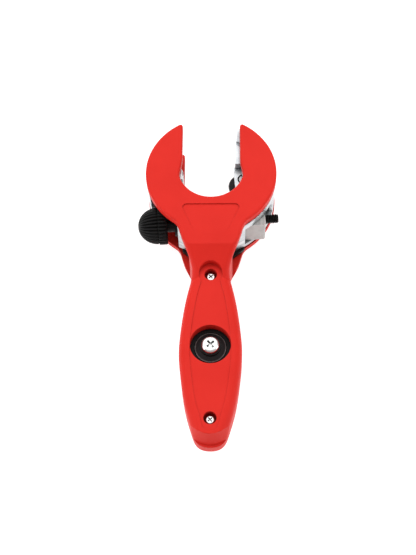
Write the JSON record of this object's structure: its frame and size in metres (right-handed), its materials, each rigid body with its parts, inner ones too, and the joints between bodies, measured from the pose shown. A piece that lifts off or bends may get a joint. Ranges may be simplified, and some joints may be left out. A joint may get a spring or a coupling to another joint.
{
  "type": "ratcheting tube cutter",
  "caption": "Handheld ratcheting C-head tube cutter with a red two-shell handle, a turning rotor, a screw-fed jaw and cutting wheel, guide rollers and a spare wheel in the handle.",
  "frame": {"origin": "the rotor's turning axis, which is also the tube's axis, where it meets the flat face of the rear head plate", "axes": "+Z along the tube's axis out of the front head plate, +Y out of the throat's mouth, away from the handle, +X to the feed screw's free end"},
  "size_m": [0.0848, 0.1991, 0.04],
  "materials": {
    "red_shell": "satin moulded or die-cast, painted red",
    "black_oxide": "black oxide steel",
    "black_knob": "ribbed black",
    "bright_zinc": "bright zinc plated steel",
    "cast_grey": "cast and machined, bare",
    "machined_steel": "ground steel",
    "screw_steel": "bright steel",
    "brass": "machined",
    "nylon": "natural nylon",
    "black_cup": "moulded black",
    "spring_steel": "drawn wire"
  },
  "bodies": {
    "handle": {"front_shell": "red_shell", "rear_shell": "red_shell", "handle_screws": "screw_steel", "shell_inserts": "brass", "spare_wheel": "black_oxide", "spare_wheel_cup": "black_cup", "spare_wheel_screw": "screw_steel", "spare_wheel_insert": "brass", "guide_ring_front": "nylon", "guide_ring_rear": "nylon", "pawl_pins": "screw_steel", "pawl_spring": "spring_steel"},
    "rotor": {"rotor_front_flange": "bright_zinc", "rotor_rear_flange": "bright_zinc", "rotor_body": "cast_grey", "rotor_screws": "black_oxide", "roller_pins": "machined_steel", "feed_bush": "brass"},
    "roller_upper": {"roller_upper": "machined_steel"},
    "roller_lower": {"roller_lower": "machined_steel"},
    "feed_drive": {"feed_screw": "black_oxide", "knob": "black_knob", "knob_pin": "black_oxide", "screw_clip": "black_oxide", "thrust_plate": "black_oxide"},
    "jaw": {"jaw": "bright_zinc", "jaw_nut": "machined_steel", "wheel_pin": "machined_steel", "wheel_pin_clip": "black_oxide"},
    "cutter_wheel": {"cutter_wheel": "black_oxide"},
    "pawl_left": {"pawl_left": "black_oxide"},
    "pawl_right": {"pawl_right": "black_oxide"}
  },
  "joints": [
    {"name": "rotor_turn", "type": "hinge", "parent": "handle", "child": "rotor", "pos_m": [0, 0, 0.02], "axis": [0, 0, 1], "continuous": true},
    {"name": "knob_turn", "type": "hinge", "parent": "rotor", "child": "feed_drive", "pos_m": [0.00151, -0.02275, 0.02], "axis": [0.9978, 0.0663, 0], "range_deg": [-900, 6480]},
    {"name": "jaw_slide", "type": "slide", "parent": "rotor", "child": "jaw", "axis": [0.9978, 0.0663, 0], "range_m": [-0.018, 0.0025]},
    {"name": "cutter_wheel_spin", "type": "hinge", "parent": "jaw", "child": "cutter_wheel", "pos_m": [0.01929, 0.00228, 0.02], "axis": [0, 0, 1], "continuous": true},
    {"name": "roller_upper_spin", "type": "hinge", "parent": "rotor", "child": "roller_upper", "pos_m": [-0.02119, 0.00521, 0.02], "axis": [0, 0, 1], "continuous": true},
    {"name": "roller_lower_spin", "type": "hinge", "parent": "rotor", "child": "roller_lower", "pos_m": [-0.02046, -0.00577, 0.02], "axis": [0, 0, 1], "continuous": true},
    {"name": "pawl_left_swing", "type": "hinge", "parent": "handle", "child": "pawl_left", "pos_m": [-0.0052, -0.0424, 0.0065], "axis": [0, 0, 1], "range_deg": [0, 8], "stiffness_Nm_per_rad": 0.02, "springref_deg": -8.59, "deforming": ["pawl_spring"]},
    {"name": "pawl_right_swing", "type": "hinge", "parent": "handle", "child": "pawl_right", "pos_m": [0.0052, -0.0424, 0.0065], "axis": [0, 0, 1], "range_deg": [-8, 0], "stiffness_Nm_per_rad": 0.02, "springref_deg": 8.59, "deforming": ["pawl_spring"]}
  ],
  "couplings": [
    {"joint": "knob_turn", "follows": "jaw_slide", "rad_per_m": -6283.2}
  ]
}
